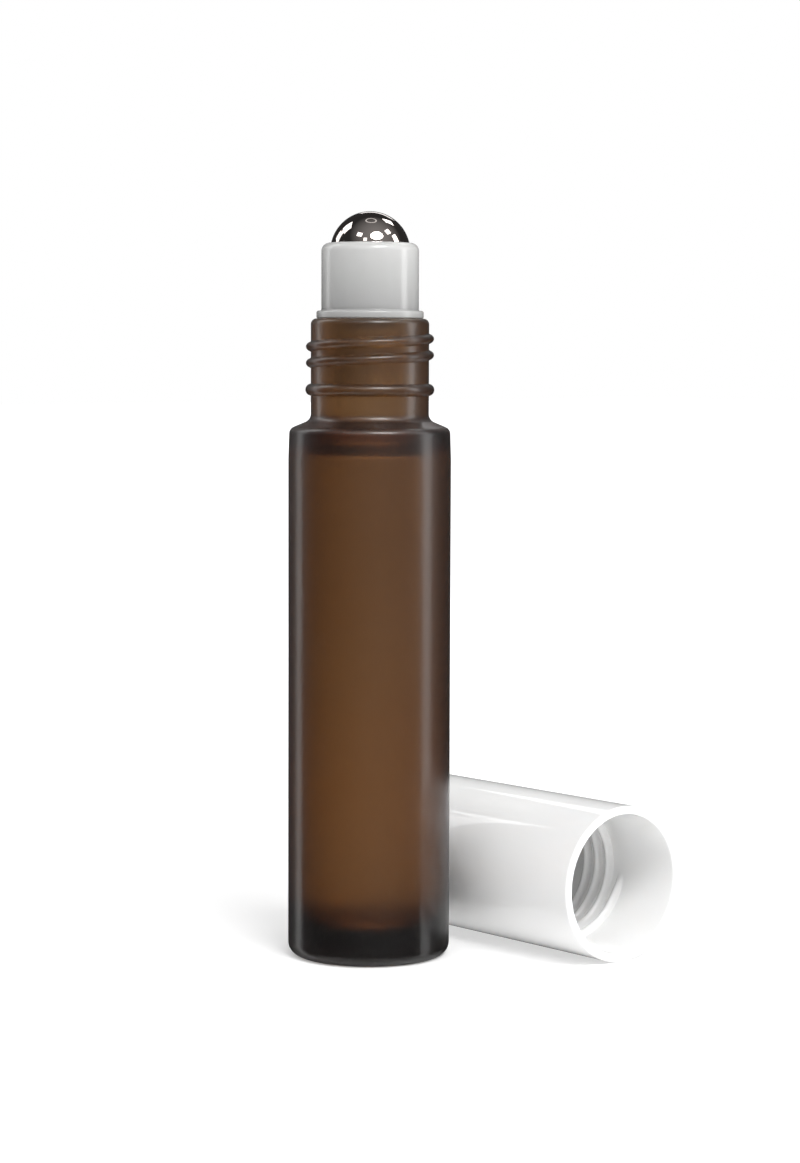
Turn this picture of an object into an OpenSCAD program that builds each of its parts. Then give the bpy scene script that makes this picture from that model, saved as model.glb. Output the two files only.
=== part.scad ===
// Roll-on bottle: a frosted amber glass bottle with a steel ball in a press-in
// plastic housing, and its smooth white screw cap lying beside it on the table.
// Units are millimetres and +Z is up. The origin is the centre of the circle on
// which the bottle stands. The cap lies along +X with its mouth at the +X end.

/* [Glass body] */
// Outside diameter of the body
body_d = 20; // [18:0.5:30]
// Height from the table to the edge of the shoulder
body_h = 65.17; // [40:0.5:110]
// Thickness of the side wall
body_wall = 2.2; // [1.4:0.1:3]
// Thickness of the glass under the liquid, at the wall
floor_t = 3.6; // [2:0.1:6]
// Rounding of the foot
foot_round = 1.5; // [0.6:0.1:2]
// Height of the hollow under the base
push_up = 0.6; // [0.2:0.1:1.2]
// How far the wall leans in below the shoulder
shoulder_draw = 0.12; // [0.02:0.02:0.4]
// Slope of the shoulder, in degrees
shoulder_slope = 23; // [10:1:35]
// Thickness of the shoulder, measured upright
shoulder_t = 2.4; // [1.6:0.1:3.2]

/* [Neck] */
// Thickness of the neck wall
neck_wall = 1.8; // [1.2:0.1:2.4]
// Glass left outside the rim of the roller housing, along a radius
lip_margin = 0.68; // [0.3:0.02:1.2]
// Height of plain lip above the thread
lip_band = 1.78; // [1.4:0.02:4]
// Radius of the round bead under the thread
bead_r = 0.74; // [0.4:0.02:1]
// Height from the middle of the bead to the start of the thread
bead_gap = 2.92; // [2:0.02:5]
// Height from the root of the neck to the middle of the bead
bead_up = 3.67; // [2.4:0.01:6]

/* [Thread] */
// Rise of the thread in one turn
thread_pitch = 2; // [1.8:0.1:3]
// Height of the glass thread above the neck
thread_rise = 0.6; // [0.4:0.05:0.8]
// Turns of thread on the neck
thread_turns = 2; // [1.5:0.25:3]
// Turns of thread in the cap
cap_turns = 3.75; // [2:0.25:5]

/* [Roller] */
// Diameter of the steel ball
ball_d = 9.8; // [8:0.1:12]
// Height of the housing's rim above the middle of the ball
rim_grip = 1.2; // [0.8:0.05:1.6]
// Wall of the housing beside the ball
cup_wall = 1.02; // [0.8:0.02:1.6]
// Height from the top of the flange to the lowest point of the ball's seat
seat_up = 2.25; // [1.6:0.05:4]
// Thickness of the flange
flange_t = 0.95; // [0.6:0.05:1.6]
// Step from the housing's side out to the edge of the flange
flange_step = 0.6; // [0.3:0.05:1]
// Length of the plug that is pressed into the neck
plug_l = 8.5; // [6:0.1:10]
// Wall of the plug, apart from its sealing rings
plug_wall = 1.2; // [0.8:0.05:1.5]
// Diameter of the hole that feeds the ball
feed_d = 4.4; // [2:0.1:5]

/* [Cap] */
// Wall of the cap at its mouth
cap_wall = 1.05; // [0.8:0.05:2]
// Thickness of the closed end
cap_end_t = 1.2; // [0.8:0.1:2.5]
// Room between the ball and the closed end, with the cap screwed on
cap_headroom = 8.7; // [3:0.1:20]
// Rounding of the closed end's outer edge
cap_edge = 0.9; // [0.3:0.1:1.2]
// Radius of the ring that presses on the ball
seal_r = 3.75; // [2.5:0.05:4]
// Wall of that ring
seal_wall = 0.9; // [0.6:0.05:1.2]

/* [Resting place of the cap] */
// Gap between the cap and the bottle
cap_gap = 1.1; // [0.5:0.1:40]
// How far the cap's mouth lies in front of the bottle's axis
cap_reach = 24.06; // [0:0.5:60]

/* [Fill] */
// Depth of the liquid's surface below the inner shoulder
head_gap = 1.96; // [1:0.1:30]

/* [Hidden] */
$fn = 96;

// Clearances between pieces that fit together
ball_clear = 0.05;
plug_clear = 0.03;
cap_clear = 0.75;

// Fine forms of the glass
lip_round = 0.7;
mouth_round = 0.45;
body_lean_h = 3.7;
lean_round = 12;
shoulder_round = 0.9;
neck_fillet = 1.1;
foot_ring_w = 3.2;
foot_step_w = 0.5;
foot_step_round = 0.25;
floor_crown = 0.5;
floor_round = 3.2;
inner_shoulder_round = 1.6;
inner_neck_round = 1.8;
meniscus = 0.45;
meniscus_w = 0.8;

// Fine forms of the housing
cup_round = 1.4;
flange_round = 0.25;
cup_fillet = 0.2;
seat_t = 1.2;
plug_play = 0.3;
plug_lead = 0.5;
plug_edge = 0.2;
plug_roof_round = 0.8;
ring_count = 3;
ring_first = 1.7;
ring_gap = 2.1;
groove_w = 0.8;
groove_depth = 0.35;
groove_below = 1.4;
groove_count = 2;

// Fine forms of the cap
rim_round = 0.25;
skirt_step = 0.2;
skirt_lead = 0.2;
skirt_margin = 0.2;
cap_inner_round = 1;
seal_edge = 0.2;
seal_fillet = 0.3;

// The ridges of both threads: half their width, how deep their foot is sunk
// in the wall, and how far the cap's ridge stops short of the neck
ridge_half_w = 0.64;
ridge_sink = 0.3;
ridge_gap = 0.35;

// Where the threads start, in degrees about their own axis, and the share of
// a turn over which a ridge grows from nothing
neck_thread_from = 170.8;
cap_thread_to = 90;
fade_share = 0.09;

// Steps along one turn of a ridge, across its section and round a fillet, and
// the most layers of ridge that one line of sight goes through
turn_steps = 32;
section_steps = 8;
fillet_steps = 7;
ridge_layers = 12;

// Radii, from the ball outwards
ball_r = ball_d / 2;
seat_r = ball_r + ball_clear;
cup_r = seat_r + cup_wall;
flange_r = cup_r + flange_step;
neck_r = flange_r + lip_margin;
bore_r = neck_r - neck_wall;
plug_r = bore_r - plug_play;
plug_bore_r = plug_r - plug_wall;
ring_r = plug_play - plug_clear;
feed_r = feed_d / 2;
crest_r = neck_r + thread_rise;
mouth_r = crest_r + cap_clear;
cap_bore_r = mouth_r - skirt_step;
cap_r = mouth_r + cap_wall;
cap_ridge_rise = cap_bore_r - neck_r - ridge_gap;
body_r = body_d / 2;
inner_r = body_r - body_wall;
shoulder_r = body_r - shoulder_draw;

// Heights, from the table upwards
slope_share = tan(shoulder_slope);
neck_root_z = body_h + (shoulder_r - neck_r) * slope_share;
bead_z = neck_root_z + bead_up;
thread_from_z = bead_z + bead_gap;
thread_to_z = thread_from_z + thread_pitch * thread_turns;
lip_z = thread_to_z + lip_band;
inner_edge_z = body_h - shoulder_t + (shoulder_r - inner_r) * slope_share;
inner_neck_z = inner_edge_z + (inner_r - bore_r) * slope_share;
fill_z = inner_edge_z - head_gap;
flange_z = lip_z + flange_t;
seat_z = flange_z + seat_up;
ball_z = seat_z + seat_r;
cup_z = ball_z + rim_grip;
plug_z = lip_z - plug_l;
roof_z = seat_z - seat_t;

// Lengths in the cap, measured from its mouth with the cap screwed down until
// the mouth's inner edge sits on the shoulder
cap_seat_z = body_h + (shoulder_r - mouth_r) * slope_share;
cap_thread_d = thread_to_z - thread_pitch - cap_seat_z;
skirt_l = cap_thread_d - ridge_half_w - skirt_margin;
cap_l = ball_z + ball_r - cap_seat_z + cap_headroom + cap_end_t;
seal_out_r = seal_r + seal_wall / 2;
seal_in_r = seal_r - seal_wall / 2;
ball_sag = ball_r - sqrt(ball_r * ball_r - seal_in_r * seal_in_r);
seal_l = cap_headroom + ball_sag;

// A corner is [x, y, fillet], and one with no fillet stays sharp
function spot(corner) = [corner[0], corner[1]];
function fillet_of(corner) = len(corner) > 2 ? corner[2] : 0;
function unit(v) = v / norm(v);
function bearing(v) = atan2(v[1], v[0]);
function wrapped(angle) = angle > 180 ? angle - 360 : angle < -180 ? angle + 360 : angle;

// The arc that rounds corner b between a and c, no longer than its sides allow
function corner_arc(a, b, c, radius) =
    let(
        to_a = unit(a - b),
        to_c = unit(c - b),
        half = acos(to_a * to_c) / 2,
        reach = min(radius / tan(half), min(norm(a - b), norm(c - b)) / 2),
        r = reach * tan(half),
        centre = b + unit(to_a + to_c) * r / sin(half),
        from = bearing(b + to_a * reach - centre),
        sweep = wrapped(bearing(b + to_c * reach - centre) - from)
    )
    [for (i = [0:fillet_steps])
        centre + r * [cos(from + sweep * i / fillet_steps), sin(from + sweep * i / fillet_steps)]];

// The outline through all corners, each rounded by its own fillet
function rounded(corners) =
    let(n = len(corners))
    [for (i = [0:n - 1])
        let(here = corners[i], r = fillet_of(here))
        each r > 0
            ? corner_arc(spot(corners[(i + n - 1) % n]), spot(here), spot(corners[(i + 1) % n]), r)
            : [spot(here)]];

// A solid of revolution from the rounded outline of its right half
module turned(corners) {
    rotate_extrude() polygon(rounded(corners));
}

// One step of a ridge: half an ellipse whose foot is sunk in the wall. Its
// crest grows out of the wall at both ends of the thread. A negative rise
// points the ridge at the axis.
function ridge_ring(wall_r, rise, angle, z, growth) =
    let(side = sign(rise), height = (abs(rise) + ridge_sink) * growth)
    [for (k = [0:section_steps])
        let(
            t = 180 * k / section_steps - 90,
            r = wall_r - side * ridge_sink + side * height * cos(t)
        )
        [r * cos(angle), r * sin(angle), z + side * ridge_half_w * sin(t)]];

// A helical ridge on a wall, from its lower end to its upper end
module ridge(wall_r, rise, turns, from_angle, from_z) {
    steps = ceil(turns * turn_steps);
    ring_size = section_steps + 1;
    fade_steps = max(1, round(fade_share * turn_steps));
    start_share = ridge_sink / (abs(rise) + ridge_sink) / 2;
    points = [for (i = [0:steps])
        let(
            turned_by = turns * i / steps,
            nearness = min(1, min(i, steps - i) / fade_steps),
            growth = start_share + (1 - start_share) * sin(90 * nearness)
        )
        each ridge_ring(wall_r, rise, from_angle + 360 * turned_by,
            from_z + thread_pitch * turned_by, growth)];
    skin = [for (i = [0:steps - 1], k = [0:ring_size - 1])
        let(
            a = i * ring_size + k,
            b = i * ring_size + (k + 1) % ring_size,
            c = a + ring_size,
            d = b + ring_size
        )
        each [[a, b, d], [a, d, c]]];
    first_end = [for (k = [section_steps:-1:0]) k];
    last_end = [for (k = [0:section_steps]) steps * ring_size + k];
    polyhedron(points, concat(skin, [first_end, last_end]), convexity = ridge_layers);
}

// The glass: outside and inside in one outline, with the bead and the thread
module glass_bottle() {
    color([0.38, 0.23, 0.13]) {
        rotate_extrude() {
            polygon(rounded([
                [0, push_up],
                [body_r - foot_ring_w - foot_step_w, push_up, foot_step_round],
                [body_r - foot_ring_w, 0, foot_step_round],
                [body_r, 0, foot_round],
                [body_r, body_h - body_lean_h, lean_round],
                [shoulder_r, body_h, shoulder_round],
                [neck_r, neck_root_z, neck_fillet],
                [neck_r, lip_z, lip_round],
                [bore_r, lip_z, mouth_round],
                [bore_r, inner_neck_z, inner_neck_round],
                [inner_r, inner_edge_z, inner_shoulder_round],
                [inner_r, floor_t, floor_round],
                [0, floor_t + floor_crown]
            ]));
            translate([neck_r, bead_z]) circle(bead_r);
        }
        ridge(neck_r, thread_rise, thread_turns, neck_thread_from, thread_from_z);
    }
}

// The liquid fills the bottle's own outline up to the fill line
module liquid_fill() {
    color([0.55, 0.33, 0.16])
        turned([
            [0, floor_t + floor_crown],
            [inner_r, floor_t, floor_round],
            [inner_r, fill_z + meniscus],
            [inner_r - meniscus_w, fill_z],
            [0, fill_z]
        ]);
}

// The grooves that carry liquid up the seat, cut by discs set on edge
module seat_grooves() {
    groove_r = seat_r + groove_depth;
    for (i = [0:groove_count - 1])
        rotate([0, 0, 180 * i / groove_count])
            intersection() {
                rotate([90, 0, 0]) cylinder(h = groove_w, r = groove_r, center = true);
                translate([-groove_r, -groove_w, -groove_r])
                    cube([2 * groove_r, 2 * groove_w, groove_r - groove_below]);
            }
}

// The press-in housing: plug with sealing rings, flange and ball socket
module ball_housing() {
    color([0.86, 0.86, 0.85])
        difference() {
            rotate_extrude() {
                polygon(rounded([
                    [plug_bore_r, plug_z, plug_edge],
                    [plug_r, plug_z, plug_lead],
                    [plug_r, lip_z],
                    [flange_r, lip_z, flange_round],
                    [flange_r, flange_z, flange_round],
                    [cup_r, flange_z, cup_fillet],
                    [cup_r, cup_z, cup_round],
                    [feed_r, cup_z],
                    [feed_r, roof_z],
                    [plug_bore_r, roof_z, plug_roof_round]
                ]));
                for (i = [0:ring_count - 1])
                    translate([plug_r, lip_z - ring_first - i * ring_gap]) circle(ring_r);
            }
            translate([0, 0, ball_z]) {
                sphere(seat_r);
                seat_grooves();
            }
        }
}

// The steel ball
module roller_ball() {
    color([0.78, 0.78, 0.8]) translate([0, 0, ball_z]) sphere(ball_r);
}

// The cap as it is moulded, standing on its closed end
module upright_cap() {
    turned([
        [0, 0],
        [cap_r, 0, cap_edge],
        [cap_r, cap_l, rim_round],
        [mouth_r, cap_l, rim_round],
        [mouth_r, cap_l - skirt_l],
        [cap_bore_r, cap_l - skirt_l - skirt_lead],
        [cap_bore_r, cap_end_t, cap_inner_round],
        [seal_out_r, cap_end_t, seal_fillet],
        [seal_out_r, cap_end_t + seal_l, seal_edge],
        [seal_in_r, cap_end_t + seal_l, seal_edge],
        [seal_in_r, cap_end_t, seal_fillet],
        [0, cap_end_t]
    ]);
    ridge(cap_bore_r, -cap_ridge_rise, cap_turns, cap_thread_to - 360 * cap_turns,
        cap_l - cap_thread_d - thread_pitch * cap_turns);
}

// The cap where the photograph shows it, lying on its side
module cap() {
    color([0.97, 0.97, 0.97])
        translate([cap_reach - cap_l, body_r + cap_gap + cap_r, cap_r])
            rotate([0, 90, 0]) upright_cap();
}

glass_bottle();
liquid_fill();
ball_housing();
roller_ball();
cap();
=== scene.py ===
"""Roll-on bottle: the looks of a frosted amber glass roll-on bottle and its loose white screw cap.

Every piece is a surface worked out with numpy in millimetres and put into its mesh in metres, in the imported
frame: +Z is up along the bottle's axis, and the cap lies along +X with its mouth at the +X end.
"""

import logging
import math
from dataclasses import dataclass
from enum import Enum

import bpy
import numpy as np
from bpy.types import Material, NodeTree, Object
from mathutils import Matrix
from numpy.linalg import norm


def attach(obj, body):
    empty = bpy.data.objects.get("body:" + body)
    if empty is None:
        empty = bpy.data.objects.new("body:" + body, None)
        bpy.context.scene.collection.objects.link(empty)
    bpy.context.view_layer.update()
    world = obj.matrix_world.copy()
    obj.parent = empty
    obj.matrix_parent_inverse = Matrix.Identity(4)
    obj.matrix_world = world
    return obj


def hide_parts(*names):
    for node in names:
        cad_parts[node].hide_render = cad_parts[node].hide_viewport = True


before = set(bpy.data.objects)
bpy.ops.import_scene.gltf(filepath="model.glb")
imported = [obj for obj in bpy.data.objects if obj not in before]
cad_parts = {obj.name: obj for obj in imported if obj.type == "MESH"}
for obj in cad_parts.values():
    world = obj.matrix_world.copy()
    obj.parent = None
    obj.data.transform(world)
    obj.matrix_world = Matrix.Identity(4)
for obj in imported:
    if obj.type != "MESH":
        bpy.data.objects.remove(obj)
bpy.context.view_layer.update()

LOG = logging.getLogger("roll_on_bottle")

# Metres in a millimetre
MM = 0.001

# Lengths in mm that differ by less than this count as the same
SAME = 1e-6

# The vertex attribute that is 1 where the liquid wets the glass, and its grain doesn't scatter light
WET = "wet"

Array = np.ndarray
Color = tuple[float, float, float]
Direction = tuple[float, float, float]
Range = tuple[float, float]
Socket = bpy.types.NodeSocket

# What an input takes: an output, a number, a colour or a vector
Value = Socket | float | tuple[float, ...]
Values = dict[str | int, Value]


class Body(Enum):
    """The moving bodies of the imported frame."""

    BOTTLE = "bottle"
    HOUSING = "housing"
    BALL = "ball"
    CAP = "cap"


class Slot(Enum):
    """The record's material slots."""

    AMBER_GLASS = "amber_glass"
    OIL = "oil"
    NATURAL_PLASTIC = "natural_plastic"
    STEEL = "steel"
    WHITE_PLASTIC = "white_plastic"


class LampShape(Enum):
    """The shapes of a softbox."""

    RECTANGLE = "RECTANGLE"
    ELLIPSE = "ELLIPSE"


class Mixed(Enum):
    """What a Mix node mixes: its data type, and the numbers of its first input and its output."""

    NUMBERS = ("FLOAT", 2, 0)
    COLOURS = ("RGBA", 6, 2)


# Outlines and surfaces of revolution


@dataclass(frozen=True)
class Corner:
    """A corner of an outline, in mm. The pace is the spacing of rows on the side that follows it."""

    r: float
    z: float
    fillet: float = 0.0
    pace: float = 2.5


def corner_arc(
    before: Array, corner: Array, after: Array, radius: float, room: Range, turn: float = 8.0, least: int = 4
) -> Array:
    """The arc that rounds a corner of an outline.

    It touches both sides at radius / tan(half the corner's angle) from the corner, but no further than its
    share of each side, and its centre lies on the line that halves the corner.

    Args:
        before: The corner before, as (r, z).
        corner: The corner that is rounded.
        after: The corner after.
        radius: The arc's radius in mm.
        room: How much of the side before and the side after the arc may take.
        turn: Degrees between two points of the arc.
        least: The fewest points of an arc.

    Returns:
        Points of the arc, one a row.
    """
    back, ahead = before - corner, after - corner
    back_l, ahead_l = norm(back), norm(ahead)
    to_before, to_after = back / back_l, ahead / ahead_l
    half = math.acos(float(np.clip(to_before @ to_after, -1, 1))) / 2
    reach = min(radius / math.tan(half), back_l * room[0], ahead_l * room[1])
    r = reach * math.tan(half)
    split = to_before + to_after
    centre = corner + split / norm(split) * r / math.sin(half)
    first = corner + to_before * reach - centre
    last = corner + to_after * reach - centre
    start = math.atan2(first[1], first[0])
    sweep = (math.atan2(last[1], last[0]) - start + math.pi) % (2 * math.pi) - math.pi
    count = max(least, round(abs(math.degrees(sweep)) / turn) + 1)
    angles = start + sweep * np.linspace(0, 1, count)
    return centre + r * np.stack([np.cos(angles), np.sin(angles)], 1)


def side_rows(start: Array, end: Array, pace: float, guard: float = 0.06) -> Array:
    """Points between the ends of a straight side, which keep a fillet's shading off the flat.

    Args:
        start: First end, as (r, z).
        end: Last end.
        pace: The most that two rows may lie apart, in mm.
        guard: Distance of the first and last row from the ends.

    Returns:
        The points without the ends, one a row. A side too short for guards gets none.
    """
    length = float(norm(end - start))
    if length < 3 * guard:
        return np.zeros((0, 2))
    inner = np.linspace(guard, length - guard, max(2, math.ceil((length - 2 * guard) / pace) + 1))
    return start + (end - start) * (inner / length)[:, None]


def outline(corners: list[Corner], loop: bool = False) -> Array:
    """The line through all corners, each rounded by its own fillet.

    Two fillets on one side may each take half of it, and a fillet beside a sharp corner may take all of it.

    Args:
        corners: The corners, with the solid on the left of the way along them.
        loop: True for a closed outline, False for one that starts and ends on the axis.

    Returns:
        Points (r, z) in mm, one a row, with no point twice.
    """
    spots = np.array([(c.r, c.z) for c in corners])
    count = len(corners)
    shares = [0.5 if c.fillet else 1.0 for c in corners]
    bends = []
    for i, corner in enumerate(corners):
        after = (i + 1) % count
        if corner.fillet:
            room = (shares[i - 1], shares[after])
            bends.append(corner_arc(spots[i - 1], spots[i], spots[after], corner.fillet, room))
        else:
            bends.append(spots[i : i + 1])
    parts = []
    for i, bend in enumerate(bends):
        parts.append(bend)
        if loop or i < count - 1:
            parts.append(side_rows(bend[-1], bends[(i + 1) % count][0], corners[i].pace))
    points = np.concatenate(parts)
    following = points[:1] if loop else points[-1:] + 1
    gaps = norm(np.diff(points, axis=0, append=following), axis=1)
    return points[gaps > SAME]


def revolved(points: Array, steps: int, loop: bool = False) -> tuple[Array, Array, Array]:
    """The grid of a surface of revolution: radius, angle and height over two parameters, row and angle.

    Args:
        points: Outline (r, z) in mm.
        steps: Columns round the axis.
        loop: Whether the outline is closed.

    Returns:
        Radius, angle and height, each an array of rows by columns. An open outline leaves out its two ends,
        which are the poles on the axis.
    """
    rows = points if loop else points[1:-1]
    angle = np.linspace(0, 2 * np.pi, steps, endpoint=False)
    shape = (len(rows), steps)
    return tuple(np.broadcast_to(part, shape).copy() for part in (rows[:, :1], angle, rows[:, 1:]))


def upright(r: Array, angle: Array, z: Array) -> Array:
    """Points (r cos angle, r sin angle, z) of a piece that stands on the Z axis."""
    return np.stack([r * np.cos(angle), r * np.sin(angle), z], -1)


def with_poles(grid: Array, line: Array) -> Array:
    """The points of an upright grid, one a row, and after them the two ends of its outline on the axis."""
    poles = np.array([[0, 0, line[0, 1]], [0, 0, line[-1, 1]]])
    return np.concatenate([grid.reshape(-1, 3), poles])


def grid_faces(rows: int, steps: int, loop: bool = False) -> list[list[int]]:
    """Faces of a revolved grid, wound so that they point away from the solid.

    Each quad joins row i and i + 1 with column j and j + 1, and the last column joins the first. A closed
    outline joins its last row with the first. An open one gets a fan of triangles at each pole, whose
    vertices follow the grid's.

    Args:
        rows: Rows of the grid.
        steps: Columns of the grid.
        loop: Whether the outline is closed.

    Returns:
        The vertex numbers of each face.
    """
    i, j = np.meshgrid(np.arange(rows if loop else rows - 1), np.arange(steps), indexing="ij")
    i, j = i.ravel(), j.ravel()
    next_i, next_j = (i + 1) % rows, (j + 1) % steps
    quads = np.stack([i * steps + j, i * steps + next_j, next_i * steps + next_j, next_i * steps + j], 1)
    if loop:
        return quads.tolist()
    column = np.arange(steps)
    beside = (column + 1) % steps
    first = np.stack([beside, column, np.full(steps, rows * steps)], 1)
    last = (rows - 1) * steps + np.stack([column, beside, np.full(steps, steps + 1)], 1)
    return quads.tolist() + first.tolist() + last.tolist()


def smooth_max(height: Array, blend: float) -> Array:
    """The larger of height and nought, with the crease between them rounded over plus or minus blend."""
    soft = np.square(np.clip(height + blend, 0, 2 * blend)) / (4 * blend)
    return np.where(np.abs(height) < blend, soft, np.maximum(height, 0))


@dataclass(frozen=True)
class Thread:
    """A helical ridge with a half-elliptical section that grows out of the wall at both ends.

    Lengths are in mm and angles in degrees. It starts at from_angle and from_z and climbs by pitch a turn.
    Each end grows over fade of a turn, and foot rounds the crease where the ridge meets the wall.
    """

    rise: float
    turns: float
    from_angle: float
    from_z: float
    pitch: float = 2.0
    half_w: float = 0.64
    sink: float = 0.3
    fade: float = 0.09
    foot: float = 0.13

    @property
    def to_z(self) -> float:
        """The height of the middle of its upper end."""
        return self.from_z + self.pitch * self.turns

    def swell(self, angle: Array, z: Array) -> Array:
        """How far the ridge stands out of the wall at each point of a grid.

        For each lap of the helix the turn is t = lap + the share of a turn from its start. Its middle is at
        from_z + pitch * t, and with x = height over the middle / half_w its section is
        -sink + (rise + sink) * growth * sqrt(1 - x ** 2).

        Args:
            angle: Angles about the axis, in radians.
            z: Heights in mm.

        Returns:
            The rise over the wall in mm, nought beside the ridge.
        """
        share = (np.degrees(angle) - self.from_angle) / 360 % 1
        best = np.full(angle.shape, -self.sink)
        for lap in range(math.ceil(self.turns) + 1):
            turn = share + lap
            near_end = np.clip(np.minimum(turn, self.turns - turn) / self.fade, 0, 1)
            growth = np.sin(near_end * np.pi / 2)
            x = (z - self.from_z - self.pitch * turn) / self.half_w
            section = np.sqrt(np.clip(1 - np.square(x), 0, 1))
            best = np.maximum(best, (self.rise + self.sink) * growth * section - self.sink)
        return smooth_max(best, self.foot)


def in_scene(name: str, data: bpy.types.ID) -> Object:
    """A new object of the scene, for a mesh, a lamp or a camera."""
    made = bpy.data.objects.new(name, data)
    bpy.context.scene.collection.objects.link(made)
    return made


def mesh_piece(
    name: str, points: Array, faces: list[list[int]], finish: Material, body: Body, node: str,
    sharp: float = 38.0,
) -> Object:
    """Puts a surface into a mesh that stands for a CAD node.

    Args:
        name: The piece's name.
        points: Vertices in mm, one a row.
        faces: Vertex numbers of each face.
        finish: Its material.
        body: The body it moves with.
        node: The CAD node it stands for.
        sharp: Edges that bend by more than this many degrees stay sharp.

    Returns:
        The new object, at the origin.
    """
    mesh = bpy.data.meshes.new(name)
    mesh.from_pydata((points * MM).tolist(), [], faces)
    mesh.validate()
    mesh.shade_smooth()
    mesh.set_sharp_from_angle(angle=math.radians(sharp))
    mesh.materials.append(finish)
    piece = in_scene(name, mesh)
    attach(piece, body.value)
    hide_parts(node)
    return piece


# Shader graphs

BLACK = (0.0, 0.0, 0.0)
WHITE = (1.0, 1.0, 1.0)


class Graph:
    """A node tree that is written as nested calls."""

    def __init__(self, tree: NodeTree) -> None:
        """Keeps the tree."""
        self.tree = tree

    def node(self, kind: str, values: Values | None = None, **settings: object) -> bpy.types.Node:
        """Adds a node.

        Args:
            kind: The node's type name.
            values: What each input takes, by the input's name or number.
            settings: The node's own properties.

        Returns:
            The node.
        """
        made = self.tree.nodes.new(kind)
        for key, value in settings.items():
            setattr(made, key, value)
        for key, value in (values or {}).items():
            self.feed(made.inputs[key], value)
        return made

    def feed(self, socket: Socket, value: Value) -> None:
        """Links an output to a socket, or sets the socket's own value."""
        if isinstance(value, Socket):
            self.tree.links.new(value, socket)
        elif isinstance(value, tuple) and len(value) == 3 and socket.type == "RGBA":
            socket.default_value = (*value, 1.0)
        else:
            socket.default_value = value

    def math(self, operation: str, a: Value, b: Value) -> Socket:
        """A Math node's output."""
        return self.node("ShaderNodeMath", {0: a, 1: b}, operation=operation).outputs[0]

    def mix(self, kind: Mixed, factor: Value, a: Value, b: Value) -> Socket:
        """A number or a colour between a and b."""
        data_type, first, result = kind.value
        made = self.node("ShaderNodeMix", {0: factor, first: a, first + 1: b}, data_type=data_type)
        return made.outputs[result]

    def dot(self, value: Socket, direction: Array) -> Socket:
        """The dot product of a vector with a fixed unit direction."""
        unit = tuple(direction / norm(direction))
        made = self.node("ShaderNodeVectorMath", {0: value, 1: unit}, operation="DOT_PRODUCT")
        return made.outputs["Value"]

    def spread(self, value: Value, limits: Range, levels: tuple[Value, Value]) -> Socket:
        """Maps the range between the limits onto the range between the levels, held at both ends."""
        return self.node("ShaderNodeMapRange", dict(enumerate((value, *limits, *levels)))).outputs[0]

    def noise(self, place: Socket, scale: Value, **more: float) -> Socket:
        """A Noise Texture's value. Its further inputs are given by name."""
        return self.node("ShaderNodeTexNoise", {"Vector": place, "Scale": scale, **more}).outputs[0]

    def effect(self, tree: NodeTree, *values: Value) -> Socket:
        """Places a shared effect with its inputs in their order, and gives its one output."""
        return self.node("ShaderNodeGroup", dict(enumerate(values)), node_tree=tree).outputs[0]

    def finished(self, label: str, kind: str, value: Socket) -> NodeTree:
        """Gives a shader node group its one output.

        Args:
            label: The output's name.
            kind: Its socket type.
            value: What it puts out.

        Returns:
            The group.
        """
        self.tree.interface.new_socket(name=label, in_out="OUTPUT", socket_type=kind)
        self.node("NodeGroupOutput", {label: value})
        return self.tree


def effect_group(
    name: str, numbers: dict[str, float], colours: tuple[str, ...] = ()
) -> tuple[Graph, dict[str, Socket]]:
    """Starts a shader node group that takes a place, numbers and colours.

    Args:
        name: The group's name.
        numbers: Its number inputs and their defaults.
        colours: Its colour inputs.

    Returns:
        Its graph, and its inputs by name.
    """
    tree = bpy.data.node_groups.new(name, "ShaderNodeTree")
    tree.interface.new_socket(name="Place", in_out="INPUT", socket_type="NodeSocketVector")
    for label, default in numbers.items():
        made = tree.interface.new_socket(name=label, in_out="INPUT", socket_type="NodeSocketFloat")
        made.default_value = default
    for label in colours:
        tree.interface.new_socket(name=label, in_out="INPUT", socket_type="NodeSocketColor")
    graph = Graph(tree)
    return graph, {socket.name: socket for socket in graph.node("NodeGroupInput").outputs}


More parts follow.
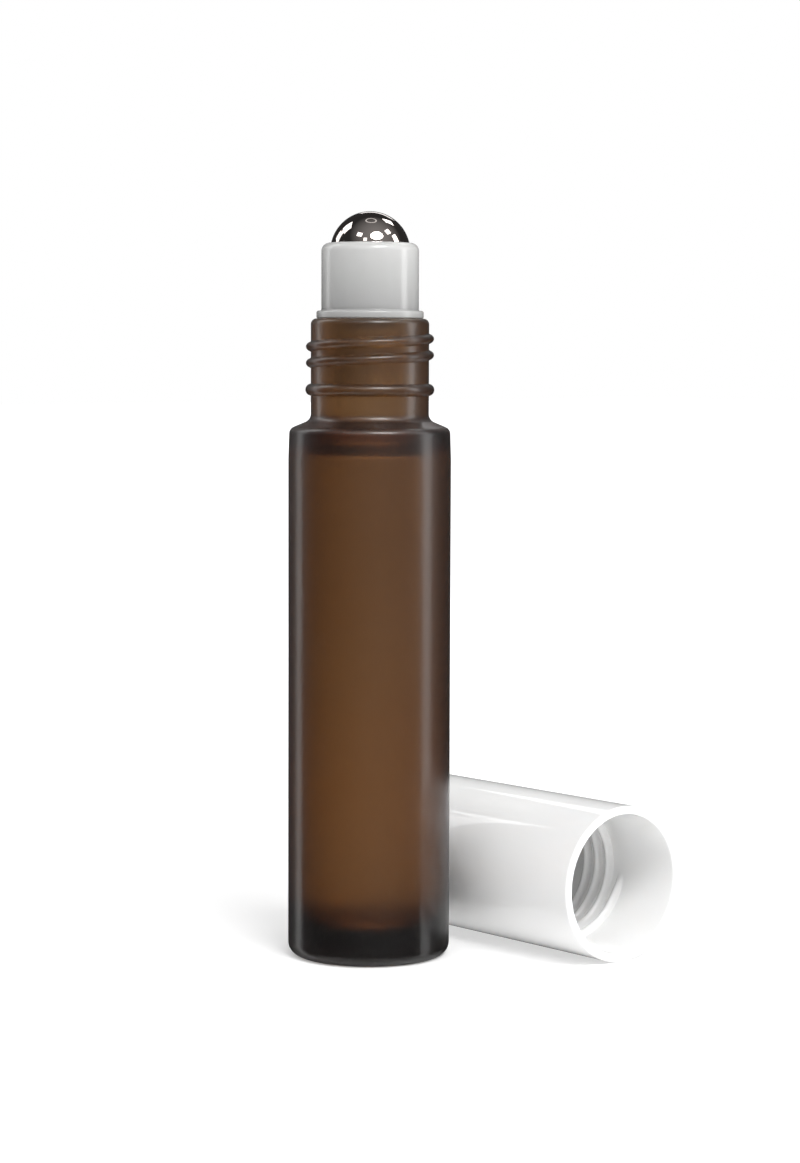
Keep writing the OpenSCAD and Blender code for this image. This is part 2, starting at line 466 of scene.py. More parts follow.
class Effects:
    """The shared effects: surface grain, uneven polish and a drift of tone, on object coordinates in metres.

    A noise's values lie mostly in the usual range, and only its streaks show as scuffs. These are finer than
    the patches and stretched along a slanting direction.
    """

    usual: Range = (0.35, 0.65)
    streaks: Range = (0.58, 0.72)
    scuffs_finer: float = 7.0
    scuffs_slant: Direction = (0.3, 0.5, 0.2)
    scuffs_stretch: Direction = (1.0, 9.0, 1.0)
    roughest: float = 1.3

    def __init__(self) -> None:
        """Builds the three groups."""
        self.grain = self._grain()
        self.polish = self._polish()
        self.tone = self._tone()

    def _grain(self) -> NodeTree:
        """Fine grain with a few larger swells: a height from 0 to 1."""
        numbers = {"Grains per metre": 6000.0, "Swells per metre": 400.0, "Share of swells": 0.3}
        graph, at = effect_group("surface_grain", numbers)
        fine = graph.noise(at["Place"], at["Grains per metre"], Detail=2.0, Roughness=0.6)
        broad = graph.noise(at["Place"], at["Swells per metre"], Detail=1.0)
        height = graph.mix(Mixed.NUMBERS, at["Share of swells"], fine, broad)
        return graph.finished("Height", "NodeSocketFloat", height)

    def _polish(self) -> NodeTree:
        """Roughness between two values, in soft patches with faint fine scuffs."""
        numbers = {"Patches per metre": 60.0, "Low": 0.1, "High": 0.2, "Scuffs": 0.3}
        graph, at = effect_group("uneven_polish", numbers)
        patches = graph.noise(at["Place"], at["Patches per metre"], Detail=3.0, Distortion=0.4)
        slant = {"Vector": at["Place"], "Rotation": self.scuffs_slant, "Scale": self.scuffs_stretch}
        turned = graph.node("ShaderNodeMapping", slant).outputs[0]
        finer = graph.math("MULTIPLY", at["Patches per metre"], self.scuffs_finer)
        lines = graph.noise(turned, finer, Detail=2.0)
        scuffs = graph.math("MULTIPLY", graph.spread(lines, self.streaks, (0.0, 1.0)), at["Scuffs"])
        amount = graph.math("ADD", graph.spread(patches, self.usual, (0.0, 1.0)), scuffs)
        rough = graph.spread(amount, (0.0, self.roughest), (at["Low"], at["High"]))
        return graph.finished("Roughness", "NodeSocketFloat", rough)

    def _tone(self) -> NodeTree:
        """A slow drift between two colours."""
        graph, at = effect_group("tone_drift", {"Drifts per metre": 40.0}, ("One colour", "Other colour"))
        drift = graph.noise(at["Place"], at["Drifts per metre"], Detail=2.0)
        share = graph.spread(drift, self.usual, (0.0, 1.0))
        colour = graph.mix(Mixed.COLOURS, share, at["One colour"], at["Other colour"])
        return graph.finished("Colour", "NodeSocketColor", colour)


@dataclass(frozen=True)
class Finish:
    """A moulded, blown or polished surface. Scales are per metre, and the bump is in metres.

    The Principled shader takes its constant values on its own sockets, and its colour, roughness and normal
    from the shared effects. Each painted shade (from height, to height, level) darkens the colour to that
    level between the two, as painted shade for the lower parts that get less light. Where the liquid wets the
    surface, it has the wet roughness and no grain.
    """

    name: str
    colour: Color
    colour_to: Color
    rough: Range
    metallic: float = 0.0
    transmission: float = 0.0
    ior: float = 1.5
    specular: float = 0.5
    subsurface: float = 0.0
    subsurface_depth: float = 0.0
    subsurface_reach: Color = (1.0, 0.95, 0.9)
    coat: float = 0.0
    coat_rough: float = 0.03
    drifts: float = 40.0
    patches: float = 60.0
    scuffs: float = 0.3
    grains: float = 6000.0
    swells: float = 400.0
    swell_share: float = 0.3
    bump: float = 0.0
    absorbs: tuple[Color, float] | None = None
    wet_rough: float | None = None
    painted_shades: tuple[tuple[float, float, float], ...] = ()

    def build(self, effects: Effects) -> Material:
        """Makes the material.

        Args:
            effects: The shared node groups.

        Returns:
            The material.
        """
        material = bpy.data.materials.new(self.name)
        material.use_nodes = True
        material.node_tree.nodes.clear()
        graph = Graph(material.node_tree)
        place = graph.node("ShaderNodeTexCoord").outputs["Object"]
        colour = graph.effect(effects.tone, place, self.drifts, self.colour, self.colour_to)
        # Painted shade: the colour darkens to each level by height, lower parts darker
        if self.painted_shades:
            height = graph.node("ShaderNodeSeparateXYZ", {0: place}).outputs["Z"]
            shade: Value = 1.0
            for from_z, to_z, level in self.painted_shades:
                shade = graph.spread(height, (from_z, to_z), (shade, level))
            colour = graph.mix(Mixed.COLOURS, shade, BLACK, colour)
        rough = graph.effect(effects.polish, place, self.patches, *self.rough, self.scuffs)
        dry: Value = 1.0
        if self.wet_rough is not None:
            wet = graph.node("ShaderNodeAttribute", attribute_name=WET).outputs["Fac"]
            dry = graph.math("SUBTRACT", 1.0, wet)
            rough = graph.spread(wet, (0.0, 1.0), (rough, self.wet_rough))
        shader = graph.node(
            "ShaderNodeBsdfPrincipled",
            {
                "Base Color": colour,
                "Roughness": rough,
                "Metallic": self.metallic,
                "Transmission Weight": self.transmission,
                "IOR": self.ior,
                "Specular IOR Level": self.specular,
                "Coat Weight": self.coat,
                "Coat Roughness": self.coat_rough,
            },
        )
        if self.subsurface:
            graph.feed(shader.inputs["Subsurface Weight"], self.subsurface)
            graph.feed(shader.inputs["Subsurface Radius"], self.subsurface_reach)
            graph.feed(shader.inputs["Subsurface Scale"], self.subsurface_depth)
        if self.bump:
            grain = graph.effect(effects.grain, place, self.grains, self.swells, self.swell_share)
            height = graph.math("MULTIPLY", grain, dry)
            bump = graph.node("ShaderNodeBump", {"Strength": 1.0, "Distance": self.bump, "Height": height})
            graph.feed(shader.inputs["Normal"], bump.outputs[0])
        output = graph.node("ShaderNodeOutputMaterial", {"Surface": shader.outputs[0]})
        if self.absorbs:
            colour, density = self.absorbs
            soak = graph.node("ShaderNodeVolumeAbsorption", {"Color": colour, "Density": density})
            graph.feed(output.inputs["Volume"], soak.outputs[0])
        return material


# The amber of the glass: how much of each colour a metre of it takes away is density times (1 - colour)
AMBER_SOAK = ((0.571, 0.351, 0.0), 770.0)

FROSTED_GLASS = Finish(
    "frosted_amber_glass", colour=(1.0, 0.97, 0.94), colour_to=(0.98, 0.93, 0.88), rough=(0.42, 0.47),
    transmission=1.0, specular=0.2, coat=0.4, coat_rough=0.2, scuffs=0.2, grains=9000.0, swells=1500.0,
    bump=0.000003, absorbs=AMBER_SOAK, wet_rough=0.03,
)
OIL = Finish(
    "clear_amber_oil", colour=(1.0, 0.98, 0.94), colour_to=(1.0, 0.97, 0.92), rough=(0.0, 0.02),
    transmission=1.0, ior=1.47, absorbs=((0.95, 0.8, 0.5), 25.0),
)
NATURAL_PLASTIC = Finish(
    "natural_polyethylene", colour=(0.86, 0.86, 0.855), colour_to=(0.9, 0.9, 0.89), rough=(0.19, 0.25),
    subsurface=0.35, subsurface_depth=0.0012, scuffs=0.5, grains=7000.0, swells=900.0, bump=0.000006,
    # Painted shade: full colour on the plug hidden in the neck, darkest at the flange, lighter up to the
    # cup's top
    painted_shades=((0.0782, 0.0788, 0.4), (0.0795, 0.0798, 0.345), (0.0798, 0.0885, 0.57)),
)
STEEL = Finish(
    "polished_steel", colour=(0.58, 0.52, 0.49), colour_to=(0.62, 0.56, 0.53), rough=(0.03, 0.06),
    metallic=1.0, drifts=120.0, patches=300.0, scuffs=0.6,
)
WHITE_PLASTIC = Finish(
    "glossy_white_polypropylene", colour=(0.86, 0.86, 0.86), colour_to=(0.88, 0.88, 0.875),
    rough=(0.05, 0.08), subsurface=0.15, subsurface_depth=0.0008, scuffs=0.25, grains=1200.0, swells=180.0,
    swell_share=0.6, bump=0.000004,
)


# The object


@dataclass
class GlassBottle:
    """The glass: foot, body, round shoulder, neck bead and a two-turn screw thread. Lengths in mm.

    The margins are how far close rows reach past bead and thread. Both stand on the outside, from neck_start
    above the neck's root to the mouth, the first row lip_in inward on the flat of the lip.
    """

    body_r: float = 9.9975
    body_h: float = 65.17
    inner_r: float = 7.8
    floor_t: float = 3.6
    floor_crown: float = 0.5
    floor_round: float = 4.0
    push_up: float = 0.6
    push_up_r: float = 6.3
    foot_r: float = 6.8
    foot_round: float = 1.5
    taper_l: float = 3.7
    taper_round: float = 12.0
    shoulder_r: float = 9.88
    shoulder_round: float = 0.9
    neck_r: float = 7.25
    neck_root_z: float = 66.286
    neck_root_round: float = 1.1
    neck_start: float = 1.2
    lip_z: float = 78.656
    lip_round: float = 0.7
    lip_inner_round: float = 0.45
    lip_in: float = 0.9
    bore_r: float = 5.45
    inner_neck_z: float = 63.6
    inner_neck_round: float = 1.0
    inner_edge_z: float = 61.95
    inner_edge_round: float = 0.3
    fill_z: float = 61.693
    bead_z: float = 69.956
    bead_r: float = 0.74
    bead_foot: float = 0.08
    bead_margin: float = 0.9
    thread_margin: float = 0.75
    steps: int = 192
    thread: Thread = Thread(rise=0.6, turns=2, from_angle=170.8, from_z=72.876)

    def bead(self, z: Array) -> Array:
        """The round bead: sqrt(bead_r ** 2 - dz ** 2) beside its middle, rounded where it meets the neck."""
        inside = np.square(self.bead_r) - np.square(z - self.bead_z)
        return smooth_max(np.sqrt(np.maximum(inside, 0)) - self.bead_foot, self.bead_foot)

    def line(self) -> Array:
        """The outline from the middle of the base, by outside and inside, to the middle of the floor."""
        outside = [
            Corner(0, self.push_up, pace=1.5),
            Corner(self.push_up_r, self.push_up, fillet=0.25),
            Corner(self.foot_r, 0, fillet=0.25),
            Corner(self.body_r, 0, self.foot_round),
            Corner(self.body_r, self.body_h - self.taper_l, self.taper_round),
            Corner(self.shoulder_r, self.body_h, self.shoulder_round, pace=0.5),
            Corner(self.neck_r, self.neck_root_z, self.neck_root_round, pace=0.4),
            Corner(self.neck_r, self.bead_z - self.bead_margin, pace=0.05),
            Corner(self.neck_r, self.bead_z + self.bead_margin, pace=0.5),
            Corner(self.neck_r, self.thread.from_z - self.thread_margin, pace=0.06),
            Corner(self.neck_r, self.thread.to_z + self.thread_margin, pace=0.4),
            Corner(self.neck_r, self.lip_z, self.lip_round, pace=0.4),
        ]
        inside = [
            Corner(self.bore_r, self.lip_z, self.lip_inner_round),
            Corner(self.bore_r, self.inner_neck_z, self.inner_neck_round, pace=0.4),
            Corner(self.inner_r, self.inner_edge_z, self.inner_edge_round),
            Corner(self.inner_r, self.floor_t, self.floor_round, pace=0.6),
            Corner(0, self.floor_t + self.floor_crown),
        ]
        return outline(outside + inside)

    def build(self, finish: Material) -> Object:
        """Makes the glass, and marks the part of its inside that is wet in a vertex attribute.

        Args:
            finish: Its material.

        Returns:
            The piece.
        """
        line = self.line()
        r, angle, z = revolved(line, self.steps)
        on_lip = (z[:, 0] > self.lip_z - SAME) & (r[:, 0] < self.neck_r - self.lip_in)
        mouth = int(np.argmax(on_lip))
        rows = np.arange(len(r))[:, None]
        on_neck = (rows < mouth) & (z > self.neck_root_z + self.neck_start)
        r += np.where(on_neck, self.bead(z) + self.thread.swell(angle, z), 0.0)
        points = with_poles(upright(r, angle, z), line)
        faces = grid_faces(len(r), self.steps)
        piece = mesh_piece(
            "frosted_glass", points, faces, finish, Body.BOTTLE, "glass_bottle"
        )
        wet = np.append((rows > mouth) & (z < self.fill_z), [False, True])
        piece.data.attributes.new(WET, "FLOAT", "POINT").data.foreach_set("value", wet.astype(np.float32))
        return piece


@dataclass
class Liquid:
    """The contents, up to a fill line just under the shoulder. Lengths in mm."""

    inner_r: float = 7.8
    floor_t: float = 3.6
    floor_crown: float = 0.5
    floor_round: float = 4.0
    fill_z: float = 61.693
    meniscus: float = 0.15
    meniscus_w: float = 0.8
    meniscus_round: float = 0.9
    overlap: float = 0.015
    steps: int = 128

    def build(self, finish: Material) -> Object:
        """Makes the liquid. It reaches a hair into the glass that it wets, so no air shows between the two.

        Args:
            finish: Its material.

        Returns:
            The piece.
        """
        side_r = self.inner_r + self.overlap
        corners = [
            Corner(0, self.floor_t + self.floor_crown - self.overlap, pace=0.8),
            Corner(side_r, self.floor_t - self.overlap, self.floor_round),
            Corner(side_r, self.fill_z + self.meniscus),
            Corner(self.inner_r - self.meniscus_w, self.fill_z, self.meniscus_round, pace=0.8),
            Corner(0, self.fill_z),
        ]
        line = outline(corners)
        grid = revolved(line, self.steps)
        points = with_poles(upright(*grid), line)
        faces = grid_faces(len(grid[0]), self.steps)
        return mesh_piece("liquid", points, faces, finish, Body.BOTTLE, "liquid_fill")


@dataclass
class RollerHousing:
    """The press-in housing: plug with sealing rings, flange and ball socket. Lengths in mm.

    Close rows reach ring_margin past each sealing ring's middle, and ring_paces is the spacing above it. The
    socket ends rim_gap, in radians, under the rim. Grooves fade over groove_side and groove_end. Points
    within plug_near of the plug and seat_near of the socket belong to it.
    """

    plug_bore_r: float = 3.95
    plug_r: float = 5.15
    plug_z: float = 70.156
    plug_round: float = 0.5
    lip_z: float = 78.656
    flange_r: float = 6.57
    flange_z: float = 79.606
    cup_r: float = 5.97
    cup_z: float = 88.006
    cup_round: float = 1.4
    roof_z: float = 80.656
    roof_round: float = 0.8
    feed_r: float = 2.2
    ball_z: float = 86.806
    seat_r: float = 4.95
    seat_points: int = 44
    seat_near: float = 0.02
    rim_gap: float = 0.03
    feed_margin: float = 0.05
    plug_near: float = 0.01
    ring_r: float = 0.27
    ring_margin: float = 0.35
    rings: tuple[float, ...] = (72.756, 74.856, 76.956)
    ring_paces: tuple[float, ...] = (0.7, 0.7, 0.4)
    groove_w: float = 0.8
    groove_depth: float = 0.35
    groove_below: float = 1.4
    groove_side: float = 0.12
    groove_end: float = 0.15
    steps: int = 192

    def ring_rows(self) -> list[Corner]:
        """The side of the plug past its sealing rings, with close rows at each."""
        rows = []
        for middle, pace in zip(self.rings, self.ring_paces):
            rows.append(Corner(self.plug_r, middle - self.ring_margin, pace=0.04))
            rows.append(Corner(self.plug_r, middle + self.ring_margin, pace=pace))
        return rows

    def seat(self) -> list[Corner]:
        """The socket: points of a circle about the ball's middle, from the rim down to the feed hole."""
        rim = math.acos(math.sqrt(1 - ((self.cup_z - self.ball_z) / self.seat_r) ** 2))
        low = -math.acos(self.feed_r / self.seat_r)
        angles = np.linspace(rim - self.rim_gap, low, self.seat_points)
        return [Corner(self.seat_r * math.cos(a), self.ball_z + self.seat_r * math.sin(a)) for a in angles]

    def swell(self, r: Array, z: Array) -> Array:
        """The sealing rings: rings of circular section on the plug, sqrt(ring_r ** 2 - dz ** 2) high.

        Args:
            r: Radii of the grid.
            z: Heights of the grid.

        Returns:
            The rise over the plug's side in mm.
        """
        total = np.zeros(r.shape)
        for middle in self.rings:
            total = np.maximum(total, np.sqrt(np.maximum(self.ring_r**2 - np.square(z - middle), 0)))
        return np.where(r > self.plug_r - self.plug_near, total, 0.0)

    def grooves(self, points: Array, on_seat: Array) -> Array:
        """Cuts the liquid grooves: two crossed discs set on edge push the socket's wall out from the ball.

        Args:
            points: The grid's points.
            on_seat: Which rows belong to the socket.

        Returns:
            The points with the grooves.
        """
        away = points - np.array([0, 0, self.ball_z])
        across = np.minimum(np.abs(points[..., 0]), np.abs(points[..., 1]))
        side = np.clip((self.groove_w / 2 - across) / self.groove_side + 0.5, 0, 1)
        under = np.clip((-self.groove_below - away[..., 2]) / self.groove_end, 0, 1)
        depth = np.where(on_seat, self.groove_depth * side * under, 0.0)
        return points + away / norm(away, axis=-1, keepdims=True) * depth[..., None]

    def build(self, finish: Material) -> Object:
        """Makes the housing.

        Args:
            finish: Its material.

        Returns:
            The piece.
        """
        corners = [
            Corner(self.plug_bore_r, self.plug_z, fillet=0.2),
            Corner(self.plug_r, self.plug_z, self.plug_round, pace=0.3),
            *self.ring_rows(),
            Corner(self.plug_r, self.lip_z),
            Corner(self.flange_r, self.lip_z, fillet=0.2),
            Corner(self.flange_r, self.flange_z, fillet=0.25),
            Corner(self.cup_r, self.flange_z, fillet=0.2, pace=1.2),
            Corner(self.cup_r, self.cup_z, self.cup_round, pace=0.3),
            *self.seat(),
            Corner(self.feed_r, self.roof_z, fillet=0.1),
            Corner(self.plug_bore_r, self.roof_z, self.roof_round, pace=1.0),
        ]
        r, angle, z = revolved(outline(corners, loop=True), self.steps, loop=True)
        from_seat = np.abs(np.hypot(r, z - self.ball_z) - self.seat_r)
        on_seat = (from_seat < self.seat_near) & (r > self.feed_r + self.feed_margin)
        points = self.grooves(upright(r + self.swell(r, z), angle, z), on_seat).reshape(-1, 3)
        faces = grid_faces(len(r), self.steps, loop=True)
        return mesh_piece(
            "roller_housing", points, faces, finish, Body.HOUSING, "ball_housing"
        )


@dataclass
class RollerBall:
    """The polished steel ball. Lengths in mm."""

    ball_r: float = 4.9
    ball_z: float = 86.806
    rows: int = 97
    steps: int = 192

    def build(self, finish: Material) -> Object:
        """Makes the ball: a half circle (r cos a, z + r sin a) turned about the upright axis.

        Args:
            finish: Its material.

        Returns:
            The piece.
        """
        a = np.linspace(-np.pi / 2, np.pi / 2, self.rows)
        line = np.stack([self.ball_r * np.cos(a), self.ball_z + self.ball_r * np.sin(a)], 1)
        grid = revolved(line, self.steps)
        points = with_poles(upright(*grid), line)
        faces = grid_faces(len(grid[0]), self.steps)
        return mesh_piece("steel_ball", points, faces, finish, Body.BALL, "roller_ball")


@dataclass
class ScrewCap:
    """The smooth white cap, with its thread and the ring that presses on the ball. Lengths in mm.

    The skirt is a cone from mouth_r to bore_r, where the thread's close rows begin. They reach past its
    inner and outer end by thread_margins, and its outer end is thread_in from the mouth.
    """

    cap_r: float = 9.645
    cap_l: float = 35.893
    mouth_r: float = 8.6
    mouth_round: float = 0.25
    bore_r: float = 8.4
    end_t: float = 1.2
    end_round: float = 0.9
    end_inner_round: float = 1.0
    seal_out_r: float = 4.2
    seal_in_r: float = 3.3
    seal_l: float = 9.978
    seal_round: float = 0.2
    seal_root_round: float = 0.3
    reach: float = 24.06
    axis_y: float = 20.75
    axis_z: float = 9.65
    thread_rise: float = 0.8
    thread_turns: float = 3.75
    thread_in: float = 9.163
    thread_margins: Range = (0.75, 0.72)
    steps: int = 192

    @property
    def thread(self) -> Thread:
        """The ridge inside: from the top of the lying cap, deep in it, to its +Y side near the mouth."""
        turns = self.thread_turns
        from_z = self.cap_l - self.thread_in - Thread.pitch * turns
        return Thread(self.thread_rise, turns, from_angle=90 - 360 * turns, from_z=from_z)

    def lying(self, r: Array, angle: Array, z: Array) -> Array:
        """Points of the upright cap (r cos a, r sin a, z), laid down as (z + shift, r sin a, -r cos a)."""
        along = z + self.reach - self.cap_l
        return np.stack([along, r * np.sin(angle) + self.axis_y, self.axis_z - r * np.cos(angle)], -1)

    def build(self, finish: Material) -> Object:
        """Makes the cap.

        Args:
            finish: Its material.

        Returns:
            The piece.
        """
        thread = self.thread
        seal_z = self.end_t + self.seal_l
        corners = [
            Corner(0, 0, pace=1.5),
            Corner(self.cap_r, 0, self.end_round),
            Corner(self.cap_r, self.cap_l, self.mouth_round),
            Corner(self.mouth_r, self.cap_l, self.mouth_round, pace=1.5),
            Corner(self.bore_r, thread.to_z + self.thread_margins[1], pace=0.08),
            Corner(self.bore_r, thread.from_z - self.thread_margins[0]),
            Corner(self.bore_r, self.end_t, self.end_inner_round),
            Corner(self.seal_out_r, self.end_t, self.seal_root_round),
            Corner(self.seal_out_r, seal_z, self.seal_round),
            Corner(self.seal_in_r, seal_z, self.seal_round),
            Corner(self.seal_in_r, self.end_t, self.seal_root_round),
            Corner(0, self.end_t),
        ]
        line = outline(corners)
        r, angle, z = revolved(line, self.steps)
        on_bore = np.abs(r - self.bore_r) < SAME
        r -= np.where(on_bore, thread.swell(angle, z), 0.0)
        ends = self.lying(np.zeros(2), np.zeros(2), line[[0, -1], 1])
        points = np.concatenate([self.lying(r, angle, z).reshape(-1, 3), ends])
        faces = grid_faces(len(r), self.steps)
        return mesh_piece("screw_cap", points, faces, finish, Body.CAP, "cap")


# Studio and camera

# The photograph's frame, with its camera on the -Y side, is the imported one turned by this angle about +Z
PHOTO_TURN = 0.8869

# Where the key light stands in the photograph's frame, and where mirrors see the surround brightest
KEY_DIRECTION = (0.29, -0.66, 0.69)


def from_photo(direction: Direction) -> Array:
    """A direction of the photograph's frame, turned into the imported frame.

    Args:
        direction: X to the right, Y away from the camera, Z up.

    Returns:
        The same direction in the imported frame.
    """
    c, s = math.cos(PHOTO_TURN), math.sin(PHOTO_TURN)
    return np.array([[c, -s, 0], [s, c, 0], [0, 0, 1]]) @ np.array(direction, float)


def placed(axes: list[Array], spot: Array) -> Matrix:
    """The matrix of an object with its own X, Y and Z along the axes and its origin at the spot."""
    place = np.eye(4)
    place[:3, :3] = np.stack(axes, 1)
    place[:3, 3] = spot
    return Matrix(place.tolist())


@dataclass(frozen=True)
class PhotoCamera:
    """The pinhole camera fitted to the photograph. Lengths in mm, angles in radians, clip in metres."""

    focal_px: float = 2950.0
    tall_px: float = 1163.0
    distance: float = 362.79
    height: float = 74.97
    pitch: float = 0.0787
    yaw: float = 0.0104
    roll: float = -0.0033
    sensor: float = 36.0
    clip: Range = (0.01, 20.0)

    def build(self) -> Object:
        """Makes the camera and makes it the scene's.

        Returns:
            The camera object.
        """
        cos_pitch, sin_pitch = math.cos(self.pitch), math.sin(self.pitch)
        cos_yaw, sin_yaw = math.cos(self.yaw), math.sin(self.yaw)
        cos_roll, sin_roll = math.cos(self.roll), math.sin(self.roll)
        ahead = np.array([sin_yaw * cos_pitch, cos_yaw * cos_pitch, -sin_pitch])
        level = np.array([cos_yaw, -sin_yaw, 0.0])
        under = np.cross(ahead, level)
        right = cos_roll * level + sin_roll * under
        down = -sin_roll * level + cos_roll * under
        data = bpy.data.cameras.new("photo_camera")
        data.lens = self.focal_px / self.tall_px * self.sensor
        data.sensor_width = self.sensor
        data.clip_start, data.clip_end = self.clip
        camera = in_scene("photo_camera", data)
        axes = [from_photo(tuple(right)), from_photo(tuple(-down)), from_photo(tuple(-ahead))]
        camera.matrix_world = placed(axes, from_photo((0, -self.distance, self.height)) * MM)
        bpy.context.scene.camera = camera
        return camera


@dataclass(frozen=True)
class Panel:
    """A softbox. It stands in a direction from the aim point and faces it. Sizes are in metres."""

    name: str
    direction: Direction
    width: float
    height: float
    watts: float
    distance: float = 0.5
    aim_z: float = 0.09
    only_through: bool = False
    shape: LampShape = LampShape.RECTANGLE

    def build(self) -> Object:
        """Makes the lamp. One for glass only is hidden from the camera and from mirror and matt surfaces.

        Returns:
            The lamp object.
        """
        data = bpy.data.lights.new(self.name, "AREA")
        data.shape = self.shape.value
        data.size = self.width
        data.size_y = self.height
        data.energy = self.watts
        lamp = in_scene(self.name, data)
        away = from_photo(self.direction)
        away /= norm(away)
        side = np.cross([0, 0, 1.0], away)
        side /= norm(side)
        spot = away * self.distance + np.array([0, 0, self.aim_z])
        lamp.matrix_world = placed([side, np.cross(away, side), away], spot)
        lamp.visible_camera = lamp.visible_diffuse = lamp.visible_glossy = not self.only_through
        return lamp


@dataclass(frozen=True)
class Floor:
    """The plain pale floor. Distances are in metres from the bottle's axis.

    The camera sees its lit paint and a glow that rises to full white. Glass sees only a glow, more of it
    behind and near the bottle, and dimmed under it as a painted contact shadow. Matt surfaces see its bounce
    besides its paint. Mirrors see its paint where they meet it steeply, and look past it at a slant.
    """

    half: float = 3.0
    paint: float = 0.82
    glow: float = 0.27
    fade: Range = (0.12, 0.35)
    through: float = 0.28
    behind: Direction = (-0.8, 0.6, 0)
    behind_range: Range = (-0.1, 0.15)
    behind_levels: Range = (0.8, 1.7)
    near: Range = (0.12, 0.4)
    near_level: float = 2.1
    under: Range = (0.012, 0.045)
    shadow_under_level: float = 0.05
    bounce: float = 0.35
    slant: Range = (0.35, 0.6)

    def material(self) -> Material:
        """Makes its material.

        Returns:
            The material.
        """
        material = bpy.data.materials.new("pale_floor")
        material.use_nodes = True
        material.node_tree.nodes.clear()
        graph = Graph(material.node_tree)
        rays = graph.node("ShaderNodeLightPath").outputs
        spot = graph.node("ShaderNodeTexCoord").outputs["Object"]
        away = graph.node("ShaderNodeVectorMath", {0: spot}, operation="LENGTH").outputs["Value"]
        seen = graph.math("MULTIPLY", rays["Is Camera Ray"], graph.spread(away, self.fade, (self.glow, 1.0)))
        behind = graph.dot(spot, from_photo(self.behind))
        level = graph.spread(behind, self.behind_range, self.behind_levels)
        level = graph.math("MULTIPLY", level, self.through)
        level = graph.math("MULTIPLY", level, graph.spread(away, self.near, (self.near_level, 1.0)))
        # Painted contact shadow: the glow that glass sees dims under the bottle
        level = graph.math("MULTIPLY", level, graph.spread(away, self.under, (self.shadow_under_level, 1.0)))
        own = graph.math("MAXIMUM", seen, graph.math("MULTIPLY", rays["Is Transmission Ray"], level))
        bounce = graph.math("MULTIPLY", rays["Is Diffuse Ray"], self.bounce)
        strength = graph.math("MAXIMUM", own, bounce)
        light = graph.node("ShaderNodeEmission", {"Color": WHITE, "Strength": strength})
        shade = graph.mix(Mixed.COLOURS, rays["Is Transmission Ray"], (self.paint,) * 3, BLACK)
        paint = graph.node("ShaderNodeBsdfDiffuse", {"Color": shade})
        both = graph.node("ShaderNodeAddShader", {0: paint.outputs[0], 1: light.outputs[0]})
        clear = graph.node("ShaderNodeBsdfTransparent")
        others = graph.math("MAXIMUM", rays["Is Transmission Ray"], rays["Is Camera Ray"])
        mirrored = graph.math("SUBTRACT", rays["Is Glossy Ray"], others)
        slant = graph.node("ShaderNodeLayerWeight", {"Blend": 0.5}).outputs["Facing"]
        let_by = graph.math("MULTIPLY", mirrored, graph.spread(slant, self.slant, (0.0, 1.0)))
        surface = graph.node("ShaderNodeMixShader", {0: let_by, 1: both.outputs[0], 2: clear.outputs[0]})
        graph.node("ShaderNodeOutputMaterial", {"Surface": surface.outputs[0]})
        return material

    def build(self) -> Object:
        """Makes the floor.

        Returns:
            The floor object.
        """
        mesh = bpy.data.meshes.new("floor")
        corners = [(x * self.half, y * self.half, 0) for x, y in ((-1, -1), (1, -1), (1, 1), (-1, 1))]
        mesh.from_pydata(corners, [], [(0, 1, 2, 3)])
        mesh.materials.append(self.material())
        floor = in_scene("floor", mesh)
        return floor


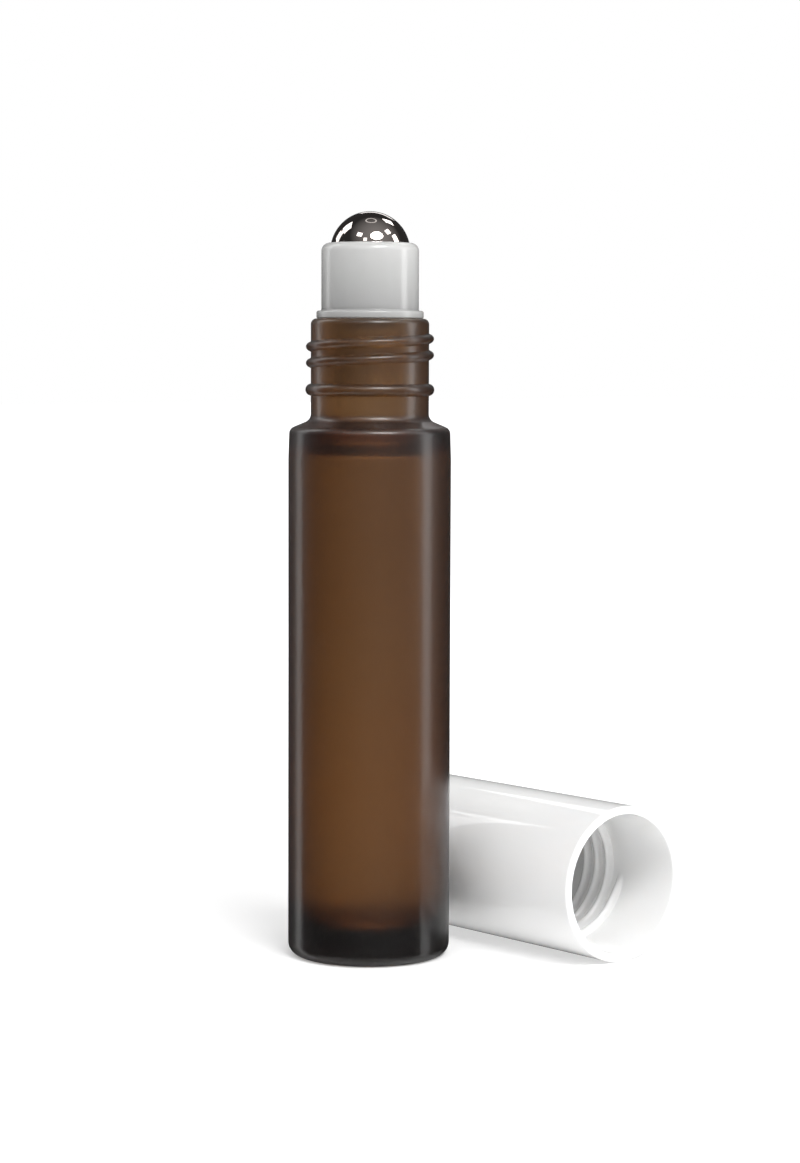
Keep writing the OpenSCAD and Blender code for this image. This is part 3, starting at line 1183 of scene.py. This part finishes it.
@dataclass(frozen=True)
class Surround:
    """What stands round the object: white to the camera, and dimmer to every other ray.

    Matt surfaces get a plain fill. Mirrors see a dim room that brightens towards the key light, and a faint
    ring between two angles in degrees. Glass sees part of the white, and less of it high up.
    """

    fill: float = 0.42
    mirrored: Range = (0.035, 0.3)
    key_range: Range = (0.3, 0.97)
    ring: Direction = (0.0255, 0.1585, 0.9875)
    ring_edges: Range = (10.5, 8.0)
    ring_level: float = 0.8
    through: float = 0.25
    high_range: Range = (0.05, 0.45)
    high_levels: Range = (1.0, 0.25)

    def build(self) -> None:
        """Makes the world."""
        world = bpy.data.worlds.new("surround")
        bpy.context.scene.world = world
        world.use_nodes = True
        world.node_tree.nodes.clear()
        graph = Graph(world.node_tree)
        rays = graph.node("ShaderNodeLightPath").outputs
        heading = graph.node("ShaderNodeTexCoord").outputs["Generated"]
        up = graph.node("ShaderNodeSeparateXYZ", {0: heading}).outputs["Z"]
        through = graph.math("MULTIPLY", graph.spread(up, self.high_range, self.high_levels), self.through)
        mirrored = graph.spread(graph.dot(heading, from_photo(KEY_DIRECTION)), self.key_range, self.mirrored)
        from_ring = graph.dot(heading, from_photo(self.ring))
        outer, inner = (math.cos(math.radians(edge)) for edge in self.ring_edges)
        inside = graph.math("GREATER_THAN", from_ring, outer)
        band = graph.math("MULTIPLY", inside, graph.math("LESS_THAN", from_ring, inner))
        mirrored = graph.math("ADD", mirrored, graph.math("MULTIPLY", band, self.ring_level))
        level = graph.mix(Mixed.NUMBERS, rays["Is Glossy Ray"], self.fill, mirrored)
        shown = graph.mix(Mixed.NUMBERS, rays["Is Transmission Ray"], level, through)
        strength = graph.math("MAXIMUM", shown, rays["Is Camera Ray"])
        back = graph.node("ShaderNodeBackground", {"Color": WHITE, "Strength": strength})
        graph.node("ShaderNodeOutputWorld", {"Surface": back.outputs[0]})


@dataclass(frozen=True)
class Studio:
    """Plain pale floor, white surround and soft panels."""

    floor: Floor = Floor()
    surround: Surround = Surround()
    panels: tuple[Panel, ...] = (
        Panel("strip_left", (-0.885, 0.465, 0.0), 0.12, 0.8, 0.62, aim_z=0.05),
        Panel("strip_right", (0.999, -0.034, 0.0), 0.15, 0.8, 1.55, aim_z=0.05),
        Panel("key", KEY_DIRECTION, 0.30, 0.20, 2.3, shape=LampShape.ELLIPSE),
        Panel("front_low", (-0.238, -0.805, 0.541), 0.08, 0.08, 0.06),
        Panel("high_left", (-0.458, -0.531, 0.712), 0.12, 0.09, 0.15),
        Panel("high_right", (0.658, -0.167, 0.736), 0.12, 0.10, 0.15),
        Panel("back_right", (0.448, 0.474, 0.758), 0.10, 0.14, 0.2),
        Panel("back_left", (-0.65, 0.33, 0.68), 0.20, 0.16, 0.3),
        Panel("side_left", (-0.749, 0.538, 0.386), 0.10, 0.12, 0.08),
        Panel("rim", (0.088, 0.89, 0.448), 0.20, 0.08, 0.08),
        Panel("backlight", (0.03, 0.90, 0.43), 0.50, 0.24, 1.15, aim_z=0.06, only_through=True),
    )

    def build(self) -> None:
        """Makes floor, surround and panels, and sets the plain view transform."""
        self.floor.build()
        self.surround.build()
        for panel in self.panels:
            panel.build()
        bpy.context.scene.view_settings.view_transform = "Standard"


def main() -> None:
    """Builds every sub-assembly in order, then the studio and the camera."""
    logging.basicConfig(level=logging.INFO, format="%(name)s: %(message)s")
    effects = Effects()
    pieces = [
        GlassBottle().build(FROSTED_GLASS.build(effects)),
        Liquid().build(OIL.build(effects)),
        RollerHousing().build(NATURAL_PLASTIC.build(effects)),
        RollerBall().build(STEEL.build(effects)),
        ScrewCap().build(WHITE_PLASTIC.build(effects)),
    ]
    for piece in pieces:
        LOG.info("%s: %d faces", piece.name, len(piece.data.polygons))
    Studio().build()
    PhotoCamera().build()


if __name__ == "__main__":
    main()
